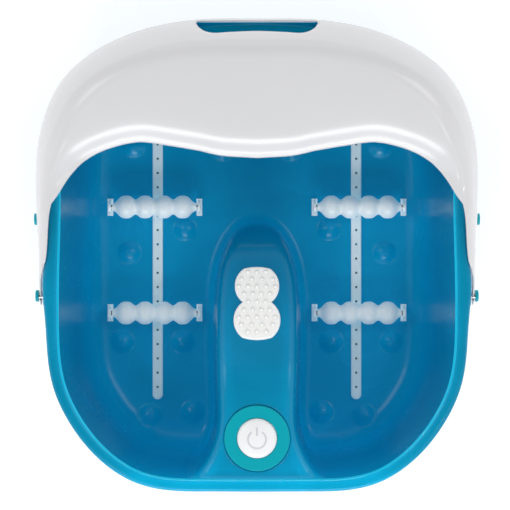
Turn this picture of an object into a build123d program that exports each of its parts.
from build123d import *
import math
import os

# Bubbling foot bath with a swing-up splash hood.  Millimetres, +Z up, front
# of the bath towards -Y, origin on the ground under the centre of the bath.

# ---------------------------------------------------------------------------
# driving dimensions
# ---------------------------------------------------------------------------
RUN = 0.05                       # radial running clearance

RIM_Z = 160.0                    # top of the tub rim
LIP_T = 3.0                      # thickness of the rim lip
LIP_BOTTOM = RIM_Z - LIP_T
SKIRT_Z, SKIRT_T = 149.5, 2.6    # lower edge and wall of the down-turned rim skirt
FLOOR_Z, FLOOR_BOTTOM = 33.0, 30.0   # top and underside of the well floor
DECK_Z = 156.0                   # flat deck of the console round the power button
DECK_T = 3.0
LEDGE_Z, LEDGE_T = 154.8, 4.8    # top and depth of the finger ledge
SHELL_T = 2.6                    # outer shell wall
SHELL_TOP = 155.5
COVER_Z, COVER_T = 6.0, 3.0      # underside and thickness of the bottom cover
COVER_TOP = COVER_Z + COVER_T

HOOD_T = 3.2                     # hood wall
PIVOT_Y, PIVOT_Z = -35.0, 139.0  # hood pivot
PIN_R = 3.0
ARM_R = 8.5                      # rounded end of a hood arm
LATCH_Y, LATCH_Z = 30.0, 141.0
LATCH_R = 5.0

BUTTON_Y, BUTTON_R = -155.0, 16.8
RING_R = 27.75                   # ring round the power button
PLUNGER_R = 3.0
STRIP_X = 87.0                   # centre lines of the bubble strips
MANIFOLD_Y, MANIFOLD_Z = 10.0, 19.5
BLOWER_Y = -95.0
POST_REACH = 33.0                # blower posts from the blower axis
POST_TOP = 41.5

# places as lists of (x, y)
SCREWS_RIGHT = [(118, -92), (122, 22), (104, 100)]
SCREWS_AT = SCREWS_RIGHT + [(-x, y) for x, y in SCREWS_RIGHT]
FEET_AT = [(105, -130), (-105, -130), (105, 132), (-105, 132)]
BRACKET_SCREWS_AT = [(0, -129), (0, -180)]
BUTTON_AT = [(0, BUTTON_Y)]
BLOWER_AT = [(0, BLOWER_Y)]
POSTS_AT = [(0, BLOWER_Y - POST_REACH), (0, BLOWER_Y + POST_REACH)]
INLETS_AT = [(STRIP_X, MANIFOLD_Y), (-STRIP_X, MANIFOLD_Y)]

ON_BASE = (Align.CENTER, Align.CENTER, Align.MIN)
TO_FRONT = (90, 0, 0)            # rotation that lays +Z along -Y
TO_RIGHT = (0, 90, 0)            # rotation that lays +Z along +X

# ---------------------------------------------------------------------------
# plan outlines: (x, y) of the right half, front centre to back centre
# ---------------------------------------------------------------------------
RIM_FRONT = [
    (0, -200), (40, -199.8), (78, -198.4), (103, -192.2), (126, -178.6),
    (146, -159), (161, -137), (170.6, -116), (175.8, -93),
]
RIM_BACK = [
    (176.4, 40), (176.2, 70), (172.6, 105), (163, 133), (147, 154.5),
    (124, 171), (93, 182.8), (50, 191.2), (0, 194),
]
# the rim bulges out over the pivots, the body below it runs straight
RIM_HALF = RIM_FRONT + [
    (178.1, -64), (179.6, -46), (181.0, -28), (179.6, -10), (177.0, 8),
] + RIM_BACK
BODY_HALF = RIM_FRONT + [(177.8, -58), (177.6, -15)] + RIM_BACK
HOOD_HALF = [
    (0, -190), (80, -186), (150, -142), (178, -85), (184.2, -45),
    (184.5, -10), (186.0, 26), (187.2, 60), (185.6, 92), (179.6, 118),
    (168.5, 142.5), (150.5, 163), (126, 179), (98, 190.4), (70, 196.8),
    (40, 199.8), (0, 200),
]
CONSOLE_HALF = [
    (0, -215), (40, -214), (62, -204), (57, -192), (47, -180), (38.6, -165),
    (33.0, -146), (32.4, -122), (33.6, -92), (33.6, -60), (32.4, -35),
    (28.5, -8), (20, 12), (9, 23), (0, 26),
]

# stations of a loft: (z, inset from the outline)
TUB_OUTSIDE = [(FLOOR_BOTTOM, 46.0), (36, 36.4), (50, 29.0), (78, 21.4), (158, 6.4)]
TUB_INSIDE = [(FLOOR_Z, 45.0), (38, 38.2), (51, 31.9), (78, 24.6), (161, 9.0)]
SHELL_OUTSIDE = [(COVER_Z, 21.0), (13, 15.6), (50, 9.8), (SHELL_TOP, 3.2)]
SHELL_INSIDE = [(z, inset + SHELL_T) for z, inset in SHELL_OUTSIDE]
CONSOLE_OUTSIDE = [(20, -6.5), (90, -3.5), (170, 0)]
CONSOLE_INSIDE = [(5, -4.2), (90, -0.4), (170, 3.2)]
HOOD_OUTSIDE = [(126, 0.0), (156, 0.3), (166, 4.6), (178, 12.4), (198, 28.5)]
HOOD_INSIDE = [(122, 3.2), (155.0, 3.4), (160.4, 4.2), (166.0, 9.4), (175.6, 15.4),
               (195.4, 31.4)]


# ---------------------------------------------------------------------------
# helpers
# ---------------------------------------------------------------------------
def flipped(points):
    """Points mirrored about x = 0, in reverse order."""
    return [(-x, y) for x, y in reversed(points)]


def closed(half, inset):
    """Mirror a half outline about x = 0 and move it inwards along its normal."""
    points = list(half) + flipped(half[1:-1])
    moved = []
    for i, (x, y) in enumerate(points):
        before, after = points[i - 1], points[(i + 1) % len(points)]
        along_x, along_y = after[0] - before[0], after[1] - before[1]
        span = math.hypot(along_x, along_y)
        moved.append((x - along_y / span * inset, y + along_x / span * inset))
    return moved


def loop(half, inset):
    """Closed smooth curve through an inset outline.

    Every inset of one outline is given the same knots, so that sections
    stacked in a loft match one to one.
    """
    base = closed(half, 0)
    knots = [0.0]
    for start, end in zip(base, base[1:] + base[:1]):
        knots.append(knots[-1] + math.hypot(end[0] - start[0], end[1] - start[1]))
    return Edge.make_spline([(x, y, 0) for x, y in closed(half, inset)],
                            periodic=True, parameters=knots)


def outline_loft(half, stations):
    """Solid lofted through insets of one outline."""
    with BuildPart() as form:
        for z, inset in stations:
            with BuildSketch(Plane.XY.offset(z)):
                with BuildLine():
                    add(loop(half, inset))
                make_face()
        loft(ruled=True)
    return form.part


def outline_prism(half, inset, bottom, top, hole_inset=None):
    """Upright plate on an inset outline, or a ring if hole_inset is given."""
    with BuildPart() as form:
        with BuildSketch(Plane.XY.offset(bottom)):
            with BuildLine():
                add(loop(half, inset))
            make_face()
            if hole_inset is not None:
                with BuildLine():
                    add(loop(half, hole_inset))
                make_face(mode=Mode.SUBTRACT)
        extrude(amount=top - bottom)
    return form.part


def pegs(places, radius, bottom, top, mode=Mode.ADD):
    """Upright cylinders in the open part, one at each (x, y)."""
    with Locations(*[(x, y, bottom) for x, y in places]):
        Cylinder(radius, top - bottom, align=ON_BASE, mode=mode)


def rod(start, direction, radius, length, mode=Mode.ADD):
    """Lying cylinder in the open part, from start along TO_FRONT or TO_RIGHT."""
    with Locations(Location(start, direction)):
        Cylinder(radius, length, align=ON_BASE, mode=mode)


def placed(form, x, y, z):
    """A copy of a form moved to x, y, z."""
    with BuildPart() as copy:
        with Locations((x, y, z)):
            add(form)
    return copy.part


# ---------------------------------------------------------------------------
# console: the raised ridge between the wells, seen side on as (y, z)
# ---------------------------------------------------------------------------
DECK_END_Y = -122
SLOPE_TOP, SLOPE_END = (-85, 149.05), (-8, 123.05)
SLOPE_FALL = (SLOPE_TOP[1] - SLOPE_END[1]) / (SLOPE_END[0] - SLOPE_TOP[0])


def console_form(stations, base, crest, nose):
    """Console cut to a side profile: base and deck, crest, slope, rounded nose."""
    with BuildPart() as form:
        add(outline_loft(CONSOLE_HALF, stations))
        with BuildSketch(Plane.YZ):
            with BuildLine():
                Polyline(*base)
                Spline(base[-1], *crest, tangents=((1, 0), (1, -SLOPE_FALL)))
                Line(crest[-1], nose[0])
                Spline(*nose, tangents=((1, -SLOPE_FALL), (0.05, -1)))
                Polyline(nose[-1], base[0])
            make_face()
        extrude(amount=120, both=True, mode=Mode.INTERSECT)
    return form.part


def console_body():
    return console_form(
        CONSOLE_OUTSIDE,
        base=[(40, 10), (-230, 10), (-230, DECK_Z), (DECK_END_Y, DECK_Z)],
        crest=[(-100, 153.8), SLOPE_TOP],
        nose=[SLOPE_END, (8, 114), (19, 100), (27, 76), (33, 30)])


def console_void():
    ceiling = DECK_Z - DECK_T
    return console_form(
        CONSOLE_INSIDE,
        base=[(38, 4), (-185.5, 4), (-185.5, ceiling), (DECK_END_Y, ceiling)],
        crest=[(-101, 150.9), (-86, 146.1)],
        nose=[(-9.5, 120.3), (5.5, 112), (16, 98.5), (23.5, 75), (29.3, 30)])


# ---------------------------------------------------------------------------
# figure-of-eight massage pad with domed nubs, and its pocket
# ---------------------------------------------------------------------------
PAD_Y, PAD_TILT = -42.3, 18.66           # centre, and tilt in degrees
PAD_PLANE = Plane(origin=(0, PAD_Y, SLOPE_TOP[1] - (PAD_Y - SLOPE_TOP[0]) * SLOPE_FALL),
                  x_dir=(1, 0, 0),
                  z_dir=(0, math.sin(math.radians(PAD_TILT)),
                         math.cos(math.radians(PAD_TILT))))
PAD_LOBES = [(16.0, 18.85), (-14.4, 19.85)]   # (y on the pad, radius)
PAD_SINK, PAD_T = 1.5, 4.7
PAD_PLAY = 0.3                           # pocket clearance all round
PAD_PEGS_AT = [(0, 14), (0, -14)]
NUB_R, NUB_Z = 1.95, 2.4
# (y of the row, distances of its nubs from the centre line)
NUB_ROWS = [(28.0, (0, 7.5)), (21.6, (4.3, 13.1)), (15.1, (0, 7.6, 15.4)),
            (8.5, (3.6, 11.0)), (1.4, (0, 7.5)), (-5.8, (3.6, 11.0)),
            (-12.5, (0, 7.8, 15.4)), (-19.0, (4.4, 13.4)), (-25.3, (0, 7.8))]


def pad_block(play, height):
    """Two lobes trimmed by an ellipse, standing on the bottom of the pocket."""
    with BuildPart() as block:
        with BuildSketch(PAD_PLANE.offset(-PAD_SINK)) as outline:
            for y, radius in PAD_LOBES:
                with Locations((0, y)):
                    Circle(radius + play)
            # soften the two waist corners
            fillet(outline.vertices().filter_by_position(Axis.Y, -4, 7), 0.8)
            with Locations((0, 0.45)):
                Ellipse(36 + play, 32.3 + play, mode=Mode.INTERSECT)
        extrude(amount=height)
    return block.part


def massage_pad():
    with BuildPart() as pad:
        add(pad_block(0, PAD_T))
        chamfer(pad.faces().filter_by(GeomType.PLANE).sort_by(Axis.Z)[-1].edges(), 0.9)
        for y, distances in NUB_ROWS:
            for x in sorted({side * d for d in distances for side in (1, -1)}):
                with Locations(PAD_PLANE.offset(NUB_Z) * Location((x, y, 0))):
                    Sphere(NUB_R)
        with BuildSketch(PAD_PLANE.offset(-10.5)):
            with Locations(*PAD_PEGS_AT):
                Circle(2.4)
        extrude(amount=10)
    return pad.part


# ---------------------------------------------------------------------------
# tub
# ---------------------------------------------------------------------------
# (x, y) of the floor domes in the left well, repeated in the right
DOMES_LEFT = [(-63, 22.3), (-29.5, 92), (-65, -76.2), (-118, -76.2), (-94, -141),
              (-56.5, -138), (-60, 118), (-108, 95), (-112, 2)]
DOME_R, DOME_H = 10.5, 4.5
DOME_SPHERE_R = (DOME_R ** 2 + DOME_H ** 2) / (2 * DOME_H)
COVER_SCREW_R, BRACKET_SCREW_R = 1.6, 1.4
SEAT_Z = DECK_Z - 2              # seat of the button ring and its seal
LEDGE_OUTLINE = [(-62, 180), (-58, 192.8), (-53, 196.2), (53, 196.2),
                 (58, 192.8), (62, 180), (-62, 180)]


def well_void():
    with BuildPart() as void:
        add(outline_loft(BODY_HALF, TUB_INSIDE))
        add(console_body(), mode=Mode.SUBTRACT)
    return void.part


def floor_domes():
    with BuildPart() as domes:
        with Locations(*[(side * x, y, FLOOR_Z + DOME_H - DOME_SPHERE_R)
                         for side in (1, -1) for x, y in DOMES_LEFT]):
            Sphere(DOME_SPHERE_R)
        split(bisect_by=Plane.XY.offset(FLOOR_Z - 1.2), keep=Keep.TOP)
    return domes.part


def tub():
    with BuildPart() as body:
        add(outline_loft(BODY_HALF, TUB_OUTSIDE))
        # rim lip, and its skirt run a little into the lip
        add(outline_prism(RIM_HALF, 0, LIP_BOTTOM, RIM_Z))
        add(outline_prism(RIM_HALF, 0, SKIRT_Z, LIP_BOTTOM + 0.5, hole_inset=SKIRT_T))
        # finger ledge on the skirt, under the grip slot of the hood
        with BuildSketch(Plane.XY.offset(LEDGE_Z - LEDGE_T)):
            with BuildLine():
                Polyline(*LEDGE_OUTLINE)
            make_face()
            with BuildLine():
                add(loop(RIM_HALF, SKIRT_T / 2))
            make_face(mode=Mode.SUBTRACT)
        extrude(amount=LEDGE_T)
        add(well_void(), mode=Mode.SUBTRACT)
        add(console_void(), mode=Mode.SUBTRACT)
        add(floor_domes())
        # screw bosses under the floor and under the deck
        pegs(SCREWS_AT, 4.5, 12, FLOOR_BOTTOM + 1)
        pegs(BRACKET_SCREWS_AT, 3.5, 135, DECK_Z - 1)
        # seat and bore of the button ring
        pegs(BUTTON_AT, RING_R + 0.25, SEAT_Z, SEAT_Z + 12, Mode.SUBTRACT)
        pegs(BUTTON_AT, 20.0, DECK_Z - 6, DECK_Z + 6, Mode.SUBTRACT)
        # pocket and holes for the massage pad
        add(pad_block(PAD_PLAY, 20), mode=Mode.SUBTRACT)
        with BuildSketch(PAD_PLANE.offset(-8)):
            with Locations(*PAD_PEGS_AT):
                Circle(2.7)
        extrude(amount=12, mode=Mode.SUBTRACT)
        # air inlet holes in the floor
        pegs(INLETS_AT, 2.6, 20, 40, Mode.SUBTRACT)
        # holes for the cover and bracket screws
        pegs(SCREWS_AT, COVER_SCREW_R, 11, 25, Mode.SUBTRACT)
        pegs(BRACKET_SCREWS_AT, BRACKET_SCREW_R, 134, 146, Mode.SUBTRACT)
    return body.part


# ---------------------------------------------------------------------------
# outer shell, gasket, bottom cover, feet, screws
# ---------------------------------------------------------------------------
PIVOT_BOSS_R, PIVOT_BOSS_X = 9.5, 181.2  # radius and outer face
LATCH_BOSS_R, LATCH_BOSS_X = 6.0, 180.6
RECESS_X, RECESS_Y0, RECESS_Y1 = 84.0, 32.0, 150.0   # cord recess under the bath
RECESS_Z = 24.0
RECESS_WALL = 2.5
RECESS_Y = (RECESS_Y0 + RECESS_Y1) / 2
CORD_X, CORD_Z = 64, 15.0        # where the cord enters the recess
FOOT_R, FOOT_STEM_R = 12.0, 3.0
HEAD_Z = 6.6                     # underside of a cover screw head


def outer_shell():
    with BuildPart() as shell:
        add(outline_loft(BODY_HALF, SHELL_OUTSIDE))
        with BuildSketch(Plane.YZ):
            with Locations((PIVOT_Y, PIVOT_Z)):
                Circle(PIVOT_BOSS_R)
        extrude(amount=PIVOT_BOSS_X, both=True)
        with BuildSketch(Plane.YZ):
            with Locations((LATCH_Y, LATCH_Z)):
                Circle(LATCH_BOSS_R)
        extrude(amount=LATCH_BOSS_X, both=True)
        add(outline_loft(BODY_HALF, SHELL_INSIDE), mode=Mode.SUBTRACT)
        with BuildSketch(Plane.YZ):
            with Locations((PIVOT_Y, PIVOT_Z)):
                Circle(PIN_R)
            with Locations((LATCH_Y, LATCH_Z)):
                Circle(3.1)
        extrude(amount=200, both=True, mode=Mode.SUBTRACT)
    return shell.part


def rim_gasket():
    return outline_prism(BODY_HALF, 3.3, SHELL_TOP, LIP_BOTTOM, hole_inset=5.6)


def bottom_cover():
    below = COVER_Z - 1
    with BuildPart() as cover:
        add(outline_prism(BODY_HALF, 24.2, COVER_Z, COVER_TOP))
        # raised box of the cord recess
        with BuildSketch(Plane.XY.offset(COVER_Z)):
            with Locations((0, RECESS_Y)):
                RectangleRounded(2 * (RECESS_X + RECESS_WALL),
                                 RECESS_Y1 - RECESS_Y0 + 2 * RECESS_WALL, 14) \
                    if False else RectangleRounded(
                        2 * RECESS_X + 2 * RECESS_WALL - RECESS_WALL * 0,
                        RECESS_Y1 - RECESS_Y0 + 2 * RECESS_WALL, 14)
        extrude(amount=RECESS_Z + RECESS_WALL - COVER_Z)
        with BuildSketch(Plane.XY.offset(below)):
            with Locations((0, RECESS_Y)):
                RectangleRounded(2 * RECESS_X, RECESS_Y1 - RECESS_Y0, 12)
        extrude(amount=RECESS_Z - below, mode=Mode.SUBTRACT)
        # screw bosses and blower posts
        pegs(SCREWS_AT, 6.0, COVER_Z, 12)
        pegs(POSTS_AT, 4.2, COVER_Z, POST_TOP)
        # screw head recesses, then holes for screws, feet and blower screws
        pegs(SCREWS_AT, 3.8, below, COVER_TOP, Mode.SUBTRACT)
        pegs(SCREWS_AT, 1.9, below, 15, Mode.SUBTRACT)
        pegs(FEET_AT, FOOT_STEM_R, below, 15, Mode.SUBTRACT)
        pegs(POSTS_AT, 1.5, 28, 48, Mode.SUBTRACT)
        # air inlet slots under the blower
        with BuildSketch(Plane.XY.offset(below)):
            with Locations((0, BLOWER_Y)):
                with GridLocations(0, 6, 1, 7):
                    SlotOverall(34, 2.4)
        extrude(amount=6, mode=Mode.SUBTRACT)
        # cord hole in the front wall of the recess
        rod((CORD_X, RECESS_Y0 + 5, CORD_Z), TO_FRONT, 4.0, 12, Mode.SUBTRACT)
    return cover.part


def rubber_feet():
    with BuildPart() as feet:
        pegs(FEET_AT, FOOT_R, 0, COVER_Z)
        chamfer(feet.faces().sort_by(Axis.Z)[:4].edges(), 1.2)
        pegs(FEET_AT, FOOT_STEM_R, COVER_Z, COVER_Z + 5)
    return feet.part


def cover_screws():
    with BuildPart() as screws:
        pegs(SCREWS_AT, 3.4, HEAD_Z, COVER_TOP)
        pegs(SCREWS_AT, COVER_SCREW_R, COVER_TOP, 23)
        # cross recess
        with BuildSketch(Plane.XY.offset(COVER_Z)):
            with Locations(*SCREWS_AT):
                RectangleRounded(3.6, 0.9, 0.3)
                RectangleRounded(0.9, 3.6, 0.3)
        extrude(amount=1.8, mode=Mode.SUBTRACT)
    return screws.part


# ---------------------------------------------------------------------------
# massage rollers, their axles and bearing brackets
# ---------------------------------------------------------------------------
ROLLER_X, ROLLER_Z = 89.5, 50.0
ROLLER_ROWS = {"rear": 41.5, "front": -51.0}     # y of each row
SIDES = {"left": -1, "right": 1}
ROLLERS_AT = [(side * ROLLER_X, y) for side in SIDES.values() for y in ROLLER_ROWS.values()]
ROLLER_R = 10.0
ROLLER_HALF = 36.6               # half length of a roller
NECK_R = 3.4
AXLE_R = 2.0
BULB_PITCH = 16.4
EAR_X, EAR_T, EAR_R = 38.0, 2.0, 4.8     # inner face, thickness, rounded top


def roller_outline():
    """Half profile (x, r) of a roller: four bulbs with grooves, necked at both ends."""
    points = [(-ROLLER_HALF, NECK_R), (-34.2, 4.2)]
    for k in range(4):
        middle = BULB_PITCH * (k - 1.5)
        points += [(middle - 6.4, 7.4), (middle - 3.4, 9.5), (middle, ROLLER_R),
                   (middle + 3.4, 9.5), (middle + 6.4, 7.4)]
        if k < 3:
            points.append((middle + BULB_PITCH / 2, 6.6))
    return points + [(34.2, 4.2), (ROLLER_HALF, NECK_R)]


def roller_form():
    bore = AXLE_R + RUN
    with BuildPart() as roller:
        with BuildSketch(Plane.XZ):
            with BuildLine():
                Spline(*roller_outline())
                Polyline((ROLLER_HALF, NECK_R), (ROLLER_HALF, bore),
                         (-ROLLER_HALF, bore), (-ROLLER_HALF, NECK_R))
            make_face()
        revolve(axis=Axis.X)
    return roller.part


def roller_axles():
    with BuildPart() as axles:
        with Locations(*[Location((x, y, ROLLER_Z), TO_RIGHT) for x, y in ROLLERS_AT]):
            Cylinder(AXLE_R, 2 * (EAR_X + EAR_T + 0.2))
    return axles.part


def roller_brackets():
    with BuildPart() as brackets:
        for roller_x, y in ROLLERS_AT:
            for side in (-1, 1):
                x = roller_x + side * (EAR_X + EAR_T / 2)
                with BuildSketch(Plane.YZ.offset(x)):
                    with BuildLine():
                        Polyline((y - EAR_R, ROLLER_Z), (y - 6.5, FLOOR_Z),
                                 (y + 6.5, FLOOR_Z), (y + EAR_R, ROLLER_Z))
                        ThreePointArc((y + EAR_R, ROLLER_Z), (y, ROLLER_Z + EAR_R),
                                      (y - EAR_R, ROLLER_Z))
                    make_face()
                    with Locations((y, ROLLER_Z)):
                        Circle(AXLE_R, mode=Mode.SUBTRACT)
                extrude(amount=EAR_T / 2, both=True)
                with Locations((x, y, FLOOR_Z)):
                    Box(5.0, 15, 2.2, align=ON_BASE)
    return brackets.part


# ---------------------------------------------------------------------------
# bubble strips: hollow channels with a row of air holes
# ---------------------------------------------------------------------------
STRIP_Y0, STRIP_Y1 = -127.0, 120.0
STRIP_LENGTH = STRIP_Y1 - STRIP_Y0
STRIP_Y = (STRIP_Y0 + STRIP_Y1) / 2


def strip_form():
    """A bubble strip on x = 0."""
    with BuildPart() as strip:
        with BuildSketch(Plane.XY.offset(FLOOR_Z)):
            with Locations((0, STRIP_Y)):
                SlotOverall(STRIP_LENGTH, 9.0, rotation=90)
        extrude(amount=4.4)
        fillet(strip.faces().sort_by(Axis.Z)[-1].edges(), 1.4)
        # air channel
        with BuildSketch(Plane.XY.offset(FLOOR_Z + 1.2)):
            with Locations((0, STRIP_Y)):
                SlotOverall(STRIP_LENGTH - 6, 5.0, rotation=90)
        extrude(amount=1.8, mode=Mode.SUBTRACT)
        # air holes
        with BuildSketch(Plane.XY.offset(FLOOR_Z + 2)):
            with Locations((0, STRIP_Y)):
                with GridLocations(0, 12.5, 1, 19):
                    Circle(0.9)
        extrude(amount=4, mode=Mode.SUBTRACT)
        # inlet spigot through the floor
        pegs([(0, MANIFOLD_Y)], 2.4, 24.0, FLOOR_Z + 0.6)
        pegs([(0, MANIFOLD_Y)], 1.5, 23.0, FLOOR_Z + 2, Mode.SUBTRACT)
    return strip.part


# ---------------------------------------------------------------------------
# air side: manifold, check valve, hose, clamps
# ---------------------------------------------------------------------------
VALVE_FRONT, VALVE_BACK = -24.0, -7.5    # y of the valve body ends
OUTLET_X, OUTLET_Y = 17.0, -78.0         # blower outlet spigot
HOSE_R, HOSE_BORE_R = 4.0, 2.5
HOSE_TOP = 39.5
CLAMP_R, CLAMP_LENGTH = 5.0, 5.0


def air_manifold():
    centre = (0, MANIFOLD_Y, MANIFOLD_Z)
    with BuildPart() as manifold:
        rod((-STRIP_X - 4, MANIFOLD_Y, MANIFOLD_Z), TO_RIGHT, 4.0, 2 * STRIP_X + 8)
        pegs(INLETS_AT, 3.6, MANIFOLD_Z, MANIFOLD_Z + 10.2)
        rod(centre, TO_FRONT, 3.7, 17.0)
        # bores
        rod((-STRIP_X - 1, MANIFOLD_Y, MANIFOLD_Z), TO_RIGHT, 2.2, 2 * STRIP_X + 2,
            Mode.SUBTRACT)
        pegs(INLETS_AT, 2.5, MANIFOLD_Z, MANIFOLD_Z + 12, Mode.SUBTRACT)
        rod(centre, TO_FRONT, 2.6, 20.0, Mode.SUBTRACT)
    return manifold.part


def check_valve():
    with BuildPart() as valve:
        rod((0, VALVE_BACK, MANIFOLD_Z), TO_FRONT, 6.8, VALVE_BACK - VALVE_FRONT)
        fillet(valve.edges().filter_by(GeomType.CIRCLE), 1.0)
        rod((0, 1.0, MANIFOLD_Z), TO_FRONT, 2.3, 36.0)
        rod((0, 2.0, MANIFOLD_Z), TO_FRONT, 1.3, 40.0, Mode.SUBTRACT)
    return valve.part


def air_hose():
    """From the blower outlet down and back to the check valve."""
    top = (OUTLET_X, OUTLET_Y, HOSE_TOP)
    bend_start = (OUTLET_X, OUTLET_Y, 29.5)
    bend_end = (0, -36, MANIFOLD_Z)
    with BuildPart() as hose:
        with BuildLine():
            Line(top, bend_start)
            Spline(bend_start, (14.5, OUTLET_Y + 9.5, 19.6), (5, -52, 18.6), bend_end,
                   tangents=((0, 0, -1), (0, 1, 0)))
            Line(bend_end, (0, -25.5, MANIFOLD_Z))
        with BuildSketch(Plane(origin=top, z_dir=(0, 0, -1))):
            Circle(HOSE_R)
            Circle(HOSE_BORE_R, mode=Mode.SUBTRACT)
        sweep()
    return hose.part


def hose_clamps():
    with BuildPart() as clamps:
        for place in (Location((OUTLET_X, OUTLET_Y, 32.5)),
                      Location((0, -27.5, MANIFOLD_Z), TO_FRONT)):
            with Locations(place):
                Cylinder(CLAMP_R, CLAMP_LENGTH, align=ON_BASE)
                Cylinder(HOSE_R, CLAMP_LENGTH, mode=Mode.SUBTRACT, align=ON_BASE)
    return clamps.part


# ---------------------------------------------------------------------------
# blower: volute, cover, impeller, motor
# ---------------------------------------------------------------------------
VOLUTE_BOTTOM, VOLUTE_TOP = 44.0, 70.0
VOLUTE_R = 29.3
LUG_R, LUG_HOLE_R, LUG_T = 4.6, 1.7, 4.0     # screw lugs at the posts
STRAP_WIDTH = 6                  # strap that joins the lugs
SHAFT_R = 1.5
CAN_BOTTOM, CAN_TOP = 74.0, 120.0
CAN_R, CAN_BORE_R, CAN_WALL = 17.5, 16.0, 1.6
MAGNET_BOTTOM, MAGNET_LENGTH = 82.0, 30.0


def blower_housing():
    below = VOLUTE_BOTTOM - 1
    with BuildPart() as housing:
        pegs(BLOWER_AT, VOLUTE_R, VOLUTE_BOTTOM, VOLUTE_TOP)
        with BuildSketch(Plane.XY.offset(VOLUTE_BOTTOM)):
            with Locations(*POSTS_AT):
                Circle(LUG_R)
            with Locations(*BLOWER_AT):
                Rectangle(STRAP_WIDTH, 2 * POST_REACH)
        extrude(amount=LUG_T)
        pegs(BLOWER_AT, 27.1, below, VOLUTE_TOP - 2.2, Mode.SUBTRACT)
        pegs(BLOWER_AT, 8.0, below, below + 40, Mode.SUBTRACT)
        pegs(POSTS_AT, LUG_HOLE_R, below, below + 40, Mode.SUBTRACT)
    return housing.part


def blower_cover():
    with BuildPart() as cover:
        with BuildSketch(Plane.XY.offset(POST_TOP)):
            with Locations(*BLOWER_AT):
                Circle(VOLUTE_R)
            with Locations(*POSTS_AT):
                Circle(LUG_R)
            with Locations(*BLOWER_AT):
                Rectangle(STRAP_WIDTH, 2 * POST_REACH)
                Circle(9.5, mode=Mode.SUBTRACT)
            with Locations(*POSTS_AT):
                Circle(LUG_HOLE_R, mode=Mode.SUBTRACT)
        extrude(amount=VOLUTE_BOTTOM - POST_TOP)
        # outlet spigot
        pegs([(OUTLET_X, OUTLET_Y)], 2.3, 30.0, 42.0)
        pegs([(OUTLET_X, OUTLET_Y)], 1.4, 29.0, 49.0, Mode.SUBTRACT)
    return cover.part


def blower_screws():
    head_z = VOLUTE_BOTTOM + LUG_T
    with BuildPart() as screws:
        pegs(POSTS_AT, 1.5, 30.0, head_z)
        pegs(POSTS_AT, 3.2, head_z, head_z + 2.2)
    return screws.part


def blower_impeller():
    bottom = 50.0
    with BuildPart() as impeller:
        pegs(BLOWER_AT, 4.2, bottom, 65.5)
        pegs(BLOWER_AT, 24.0, 62.0, 63.5)
        # ten slanted blades under the disc
        with BuildSketch(Plane.XY.offset(bottom)):
            with Locations(*BLOWER_AT):
                with PolarLocations(17.0, 10, start_angle=12):
                    Rectangle(13.5, 1.3, rotation=28)
        extrude(amount=12.5)
        pegs(BLOWER_AT, SHAFT_R, bottom - 1, 69.0, Mode.SUBTRACT)
    return impeller.part


def motor_shaft():
    with BuildPart() as shaft:
        pegs(BLOWER_AT, SHAFT_R, 50.5, 124.5)
    return shaft.part


def motor_can():
    with BuildPart() as can:
        pegs(BLOWER_AT, CAN_R, CAN_BOTTOM, CAN_TOP)
        fillet(can.edges().filter_by(GeomType.CIRCLE), 1.2)
        # bearing bosses at both ends
        pegs(BLOWER_AT, 5.0, CAN_BOTTOM - 3, CAN_TOP + 2)
        pegs(BLOWER_AT, CAN_BORE_R, CAN_BOTTOM + CAN_WALL, CAN_TOP - CAN_WALL,
             Mode.SUBTRACT)
        pegs(BLOWER_AT, SHAFT_R + RUN, CAN_BOTTOM - 10, CAN_TOP + 24, Mode.SUBTRACT)
    return can.part


def motor_magnets():
    """A tube in the can, parted at the front and back by a gap."""
    with BuildPart() as magnets:
        with Locations((0, BLOWER_Y, MAGNET_BOTTOM)):
            Cylinder(CAN_BORE_R, MAGNET_LENGTH, align=ON_BASE)
            Cylinder(13.4, MAGNET_LENGTH, mode=Mode.SUBTRACT, align=ON_BASE)
            Box(12, 50, MAGNET_LENGTH, mode=Mode.SUBTRACT, align=ON_BASE)
    return magnets.part


def motor_armature():
    with BuildPart() as armature:
        pegs(BLOWER_AT, 12.7, 84.0, 110.0)
        # five winding slots
        with BuildSketch(Plane.XY.offset(83)):
            with Locations(*BLOWER_AT):
                with PolarLocations(12.0, 5):
                    Rectangle(8, 2.0)
        extrude(amount=28, mode=Mode.SUBTRACT)
        # collar on top
        pegs(BLOWER_AT, 4.6, 109.0, 116.0)
        pegs(BLOWER_AT, SHAFT_R, 80.0, 125.0, Mode.SUBTRACT)
    return armature.part


def motor_grommet():
    with BuildPart() as grommet:
        pegs(BLOWER_AT, 16.0, VOLUTE_TOP, CAN_BOTTOM)
        pegs(BLOWER_AT, 10.0, VOLUTE_TOP, CAN_BOTTOM, Mode.SUBTRACT)
    return grommet.part


# ---------------------------------------------------------------------------
# heater and electrics
# ---------------------------------------------------------------------------
HEATER_X, HEATER_Y = 80, -66
HEATER_T = 1.4
SENSOR_X = 84                    # thermostat on the right, fuse on the left
BRACKET_Z, BRACKET_T = 132.5, 2.5
TERMINAL_Y = -152


def heater_plates():
    with BuildPart() as plates:
        with Locations(*[(side * HEATER_X, HEATER_Y, FLOOR_BOTTOM - HEATER_T)
                         for side in (1, -1)]):
            Box(56, 88, HEATER_T, align=ON_BASE)
    return plates.part


def thermostat():
    with BuildPart() as sensor:
        pegs([(SENSOR_X, HEATER_Y)], 8.0, 20.0, FLOOR_BOTTOM - HEATER_T)
        fillet(sensor.edges().filter_by(GeomType.CIRCLE).sort_by(Axis.Z)[0], 1.0)
    return sensor.part


def thermal_fuse():
    with BuildPart() as fuse:
        with Locations(Location((-SENSOR_X, HEATER_Y, 25.5), TO_RIGHT)):
            Cylinder(3.1, 13.0)
    return fuse.part


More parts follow.
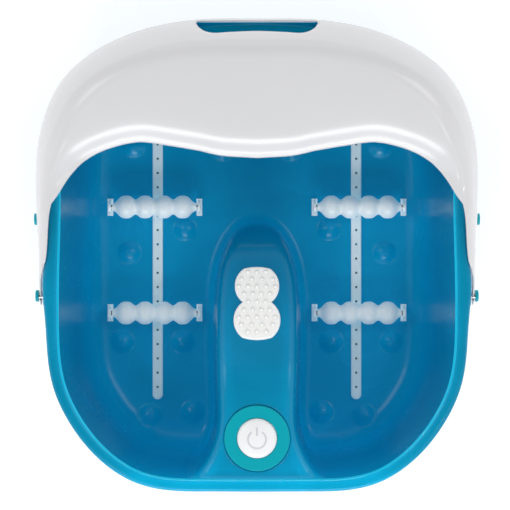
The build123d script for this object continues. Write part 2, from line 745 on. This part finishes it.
def switch_bracket():
    with BuildPart() as bracket:
        with BuildSketch(Plane.XY.offset(BRACKET_Z)):
            with Locations((0, -154.5)):
                RectangleRounded(22, 59, 4)
            with Locations(*BRACKET_SCREWS_AT):
                Circle(1.6, mode=Mode.SUBTRACT)
            with Locations(*BUTTON_AT):
                Circle(PLUNGER_R + RUN, mode=Mode.SUBTRACT)
        extrude(amount=BRACKET_T)
    return bracket.part


def bracket_screws():
    with BuildPart() as screws:
        pegs(BRACKET_SCREWS_AT, 2.8, 130.2, BRACKET_Z)
        pegs(BRACKET_SCREWS_AT, BRACKET_SCREW_R, BRACKET_Z - 0.1, 144.4)
    return screws.part


def switch_body():
    with BuildPart() as body:
        with Locations((0, BUTTON_Y, 112.0)):
            Box(20, 15, BRACKET_Z - 112.0, align=ON_BASE)
        chamfer(body.edges().filter_by(Axis.Z), 1.2)
        pegs(BUTTON_AT, 3.5, 126.5, 134.5, Mode.SUBTRACT)
        # two terminal blades below
        with Locations((-5, BUTTON_Y, 107.0), (5, BUTTON_Y, 107.0)):
            Box(4.8, 0.8, 5.2, align=ON_BASE)
    return body.part


def terminal_block():
    with BuildPart() as block:
        with Locations((0, TERMINAL_Y, COVER_TOP)):
            Box(36, 16, 11, align=ON_BASE)
        pegs([(x, TERMINAL_Y) for x in (-13, -4.5, 4.5, 13)], 2.4, 15.0, 23.0,
             Mode.SUBTRACT)
    return block.part


# (x, y, z) points of each wire, the first at the terminal block
WIRE_R = 0.9
WIRES = [
    [(-12, -142.8, 13), (2, -137, 11.6), (28, -100, 11.2), (50, -5, 11.2), (61, 23.6, 14.0)],
    [(-4.5, -142.8, 13), (10, -138, 11.6), (34, -100, 11.2), (55, -5, 11.2), (66, 23.6, 14.0)],
    [(13, -161.2, 14), (22, -164, 30), (25, -160, 75), (20, -156, 100), (10.6, -155, 108.4)],
    [(4.5, -142.6, 16), (9, -137, 30), (9, -135, 80), (9, -128, 112), (8, -108, 121)],
    [(13, -142.8, 15), (42, -124, 14), (70, -88, 15), (76, -74, 20)],
]


def wiring_harness():
    with BuildPart() as harness:
        for points in WIRES:
            with BuildLine() as wire:
                Spline(*points)
            with BuildSketch(Plane(origin=points[0], z_dir=wire.line % 0)):
                Circle(WIRE_R)
            sweep(path=wire.line)
    return harness.part


# ---------------------------------------------------------------------------
# mains cord, stowed in the recess under the bath
# ---------------------------------------------------------------------------
CORD_R = 2.75
CORD_START_Y = 25
COIL_X, COIL_Y = CORD_X, 50      # half sizes of the outermost turn
COIL_STEP = 8.4                  # inward shift per turn
COIL_SQUARENESS = 0.62           # exponent; 1 would give ellipses
STEPS_PER_TURN = 24
COIL_STEPS = 59                  # just under two and a half turns
PLUG_Y = RECESS_Y - 14.0
# (x, width along y, height, corner radius), cord end first
PLUG_SECTIONS = [(-21.8, 12, 9, 4), (-8, 23, 15, 5), (12, 25, 16, 5)]
BLADE_PITCH = 12.7


def cord_points():
    """Entry run and rounded-rectangle spiral, winding inwards."""
    points = [(CORD_X, y, CORD_Z) for y in (CORD_START_Y, 40, 62)]
    for i in range(COIL_STEPS):
        angle = 2 * math.pi * i / STEPS_PER_TURN
        shift = COIL_STEP * (i / STEPS_PER_TURN)
        c, s = math.cos(angle), math.sin(angle)
        x = (COIL_X - shift) * math.copysign(abs(c) ** COIL_SQUARENESS, c)
        y = (COIL_Y - shift) * math.copysign(abs(s) ** COIL_SQUARENESS, s)
        points.append((x, RECESS_Y + y, CORD_Z))
    return points


def power_cord():
    points = cord_points()
    coil_end_x = points[-1][0]
    with BuildPart() as cord:
        with BuildLine() as path:
            Spline(*points)
            # run-in to the plug, leaving the coil along its own direction
            Spline(points[-1], (coil_end_x + 5.5, RECESS_Y - 8.0, CORD_Z),
                   (-30.5, RECESS_Y - 13.5, CORD_Z), (-22, PLUG_Y, CORD_Z),
                   tangents=((path.line @ 1 - path.line @ 0.999).normalized(),
                             (1, 0, 0)))
        with BuildSketch(Plane(origin=points[0], z_dir=(0, 1, 0))):
            Circle(CORD_R)
        sweep()
    return cord.part


def strain_relief():
    start = (CORD_X, RECESS_Y0 + 4.5, CORD_Z)
    with BuildPart() as relief:
        rod(start, TO_FRONT, 6.5, 4.5)
        rod(start, TO_FRONT, 4.0, 12.0)
        rod(start, TO_FRONT, CORD_R + 0.1, 12.0, Mode.SUBTRACT)
    return relief.part


def blade_pair(length):
    """The two flat plug blades, from inside the plug towards +X."""
    with BuildPart() as blades:
        with BuildSketch(Plane.YZ.offset(1)):
            with Locations((PLUG_Y - BLADE_PITCH / 2, CORD_Z),
                           (PLUG_Y + BLADE_PITCH / 2, CORD_Z)):
                Rectangle(1.6, 6.4)
        extrude(amount=length)
    return blades.part


def power_plug():
    with BuildPart() as plug:
        for x, width, height, corner in PLUG_SECTIONS:
            with BuildSketch(Plane.YZ.offset(x)):
                with Locations((PLUG_Y, CORD_Z)):
                    RectangleRounded(width, height, corner)
        loft(ruled=True)
        add(blade_pair(12), mode=Mode.SUBTRACT)
    return plug.part


def plug_pins():
    return blade_pair(28)


# ---------------------------------------------------------------------------
# power button with its ring, seal, return spring and plunger
# ---------------------------------------------------------------------------
SEAL_T = 0.6
BUTTON_TOP, BUTTON_BOTTOM = 161.6, 148.5
BUTTON_WALL = 2
PLUNGER_BOTTOM, PLUNGER_TOP = 130.0, 156.0
SHOULDER = (14.2, BUTTON_TOP - 2.0)      # (radius, z) where the dome turns down
SHOULDER_SLOPE = (1, -0.34)


def button_seal():
    with BuildPart() as seal:
        pegs(BUTTON_AT, RING_R - 0.6, SEAT_Z, SEAT_Z + SEAL_T)
        pegs(BUTTON_AT, 20.4, SEAT_Z, SEAT_Z + SEAL_T, Mode.SUBTRACT)
    return seal.part


def button_ring():
    bottom = SEAT_Z + SEAL_T
    with BuildPart() as ring:
        pegs(BUTTON_AT, RING_R, bottom, bottom + 2.8)
        fillet(ring.faces().sort_by(Axis.Z)[-1].edges(), 0.9)
        pegs(BUTTON_AT, 19.8, DECK_Z - 10, DECK_Z - 0.5)
        pegs(BUTTON_AT, BUTTON_R + 0.4, DECK_Z - 11, DECK_Z + 9, Mode.SUBTRACT)
    return ring.part


def power_button():
    """Domed cap, hollow below, revolved and moved to its place."""
    edge_z = BUTTON_TOP - 5.0
    with BuildPart() as form:
        with BuildSketch(Plane.XZ):
            with BuildLine():
                Spline((0, BUTTON_TOP), (8, BUTTON_TOP - 0.55), SHOULDER,
                       tangents=((1, 0), SHOULDER_SLOPE))
                Spline(SHOULDER, (16.1, BUTTON_TOP - 3.1), (BUTTON_R, edge_z),
                       tangents=(SHOULDER_SLOPE, (0, -1)))
                Polyline((BUTTON_R, edge_z), (BUTTON_R, BUTTON_BOTTOM),
                         (BUTTON_R - BUTTON_WALL, BUTTON_BOTTOM),
                         (BUTTON_R - BUTTON_WALL, PLUNGER_TOP), (0, PLUNGER_TOP),
                         (0, BUTTON_TOP))
            make_face()
        revolve(axis=Axis.Z)
    return placed(form.part, 0, BUTTON_Y, 0)


def button_plunger():
    with BuildPart() as plunger:
        pegs(BUTTON_AT, PLUNGER_R, PLUNGER_BOTTOM, PLUNGER_TOP)
        chamfer(plunger.edges().filter_by(GeomType.CIRCLE).sort_by(Axis.Z)[0], 0.8)
    return plunger.part


def button_spring():
    with BuildPart() as spring:
        with BuildLine() as coil:
            Helix(pitch=3.38, height=19.2, radius=5.0, center=(0, BUTTON_Y, 135.8))
        with BuildSketch(Plane(origin=coil.line @ 0, z_dir=coil.line % 0)):
            Circle(0.55)
        sweep(path=coil.line, is_frenet=True)
    return spring.part


# ---------------------------------------------------------------------------
# splash hood: panel, sloping band, side arms, grip slot
# ---------------------------------------------------------------------------
HOOD_REACH = 220                 # half width that spans the whole hood
HOOD_BACK_Y, HOOD_BACK_TOP = 205, 196.4
# side view (y, z): top of the hood front to back, bottom edge back to front
TOP_LINE = [(-24, 155.4), (-15, 161.2), (-6, 165.4), (8, 168.6), (24, 171.4),
            (42, 174.2), (60, 176.6), (80, 179.4), (100, 184.2), (125, 189.4),
            (150, 193), (183, 195.6), (HOOD_BACK_Y, HOOD_BACK_TOP)]
BOTTOM_LINE = [(HOOD_BACK_Y, 157), (170, 156), (120, 150.5), (70, 141), (30, 133.2),
               (0, 131.0), (PIVOT_Y, PIVOT_Z - ARM_R)]
# plan (x, y), right half: wavy front edge, then the inner edge of the arm
WAVE = [(0, 80.8), (13, 81.5), (28, 82.5), (38, 84.2), (48, 86.7), (58, 88.4),
        (68, 90.1), (78, 91.6), (88, 93.2), (98.5, 93.9), (109, 92.6), (119, 90.1),
        (129, 86.7), (139, 81.8), (149, 74.5), (159, 62.7), (167, 50.0), (172.6, 42.5)]
ARM_EDGE = [(172.6, 42.5), (174.4, 34), (175.6, 20), (176.5, 6), (178.0, -5.5),
            (180.5, -13), (181.8, -20), (182.2, -28), (182.2, -60)]
# plan (x, y) of the grip slot's front edge, right half
GRIP_HALF = [(0, 187.3), (24, 186.3), (36.5, 185.6), (43.6, 187.2), (48.6, 190.6),
             (51.2, 194.4)]


def hood_hollow():
    with BuildPart() as hollow:
        add(outline_loft(HOOD_HALF, HOOD_INSIDE))
        with BuildSketch(Plane.YZ):
            with BuildLine():
                Spline((-60, 138), (-38, 143), *[(y, z - HOOD_T) for y, z in TOP_LINE])
                Polyline((HOOD_BACK_Y, HOOD_BACK_TOP - HOOD_T), (HOOD_BACK_Y, 100),
                         (-60, 100), (-60, 138))
            make_face()
        extrude(amount=HOOD_REACH, both=True, mode=Mode.INTERSECT)
    return hollow.part


def hood():
    arm_top, arm_bottom = (PIVOT_Y, PIVOT_Z + ARM_R), (PIVOT_Y, PIVOT_Z - ARM_R)
    arm_x = ARM_EDGE[-1][0]
    with BuildPart() as shield:
        add(outline_loft(HOOD_HALF, HOOD_OUTSIDE))
        with BuildSketch(Plane.YZ):
            with BuildLine():
                Spline(arm_top, *TOP_LINE, tangents=((1, 0.4), (1, 0)))
                Line(TOP_LINE[-1], BOTTOM_LINE[0])
                Spline(*BOTTOM_LINE, tangents=((-1, 0), (-1, 0)))
                ThreePointArc(arm_bottom, (PIVOT_Y - ARM_R, PIVOT_Z), arm_top)
            make_face()
        extrude(amount=HOOD_REACH, both=True, mode=Mode.INTERSECT)
        add(hood_hollow(), mode=Mode.SUBTRACT)
        # front edge in plan, and the inner edges of the arms
        with BuildSketch(Plane.XY.offset(90)):
            with BuildLine():
                Spline(*(flipped(WAVE[1:]) + WAVE))
                Spline(*ARM_EDGE)
                Polyline(ARM_EDGE[-1], (arm_x, -120), (-arm_x, -120),
                         (-arm_x, ARM_EDGE[-1][1]))
                Spline(*flipped(ARM_EDGE))
            make_face()
        extrude(amount=140, mode=Mode.SUBTRACT)
        # grip slot through the back band
        with BuildSketch(Plane.XY.offset(120)):
            with BuildLine():
                Polyline((51.2, 194.4), (49.4, 196), (-49.4, 196), (-51.2, 194.4))
                Spline(*(flipped(GRIP_HALF[1:]) + GRIP_HALF))
            make_face()
        extrude(amount=100, mode=Mode.SUBTRACT)
        # bores for the pivot pins and the lock buttons
        with BuildSketch(Plane.YZ):
            with Locations((PIVOT_Y, PIVOT_Z)):
                Circle(PIN_R + RUN)
            with Locations((LATCH_Y, LATCH_Z)):
                Circle(LATCH_R + RUN)
        extrude(amount=HOOD_REACH, both=True, mode=Mode.SUBTRACT)
    return shield.part


# ---------------------------------------------------------------------------
# pivot pins, caps, lock buttons: built on the right and mirrored
# ---------------------------------------------------------------------------
PIN_START_X, PIN_END_X = 169.5, 187.1


def pivot_pins():
    with BuildPart() as pins:
        rod((PIN_START_X, PIVOT_Y, PIVOT_Z), TO_RIGHT, PIN_R, PIN_END_X - PIN_START_X)
        mirror(about=Plane.YZ)
    return pins.part


def pivot_caps():
    with BuildPart() as caps:
        with BuildSketch(Plane.YZ.offset(184.9)):
            with Locations((PIVOT_Y, PIVOT_Z)):
                Circle(5.0)
        extrude(amount=2.9)
        fillet(caps.faces().sort_by(Axis.X)[-1].edges(), 1.2)
        rod((180, PIVOT_Y, PIVOT_Z), TO_RIGHT, PIN_R, PIN_END_X - 180, Mode.SUBTRACT)
        mirror(about=Plane.YZ)
    return caps.part


def latch_button_right():
    with BuildPart() as latch:
        with BuildSketch(Plane.YZ.offset(183.0)):
            with Locations((LATCH_Y, LATCH_Z)):
                Circle(LATCH_R)
        extrude(amount=5.8)
        fillet(latch.faces().sort_by(Axis.X)[-1].edges(), 1.2)
        # stem into the shell
        with BuildSketch(Plane.YZ.offset(180.9)):
            with Locations((LATCH_Y, LATCH_Z)):
                Circle(3.0)
        extrude(amount=2.5)
    return latch.part


def latch_button_left():
    with BuildPart() as latch:
        add(latch_button_right())
        mirror(about=Plane.YZ, mode=Mode.REPLACE)
    return latch.part


# ---------------------------------------------------------------------------
# build and export
# ---------------------------------------------------------------------------
# each function is named after its piece
PIECES = (
    tub, outer_shell, rim_gasket, bottom_cover, rubber_feet, cover_screws,
    roller_axles, roller_brackets, air_manifold, check_valve, air_hose, hose_clamps,
    blower_housing, blower_cover, blower_screws, blower_impeller, motor_shaft,
    motor_can, motor_magnets, motor_armature, motor_grommet, heater_plates,
    thermostat, thermal_fuse, switch_bracket, bracket_screws, switch_body,
    terminal_block, power_cord, strain_relief, power_plug, plug_pins,
    wiring_harness, button_seal, button_ring, power_button, button_plunger,
    button_spring, massage_pad, hood, pivot_pins, pivot_caps,
    latch_button_right, latch_button_left,
)


def save(name, part):
    part.label = name
    export_step(part, f"parts/{name}.step")


os.makedirs("parts", exist_ok=True)
for piece in PIECES:
    save(piece.__name__, piece())

roller, strip = roller_form(), strip_form()
for side_name, side in SIDES.items():
    for row, y in ROLLER_ROWS.items():
        save(f"roller_{row}_{side_name}", placed(roller, side * ROLLER_X, y, ROLLER_Z))
    save(f"bubble_strip_{side_name}", placed(strip, side * STRIP_X, 0, 0))
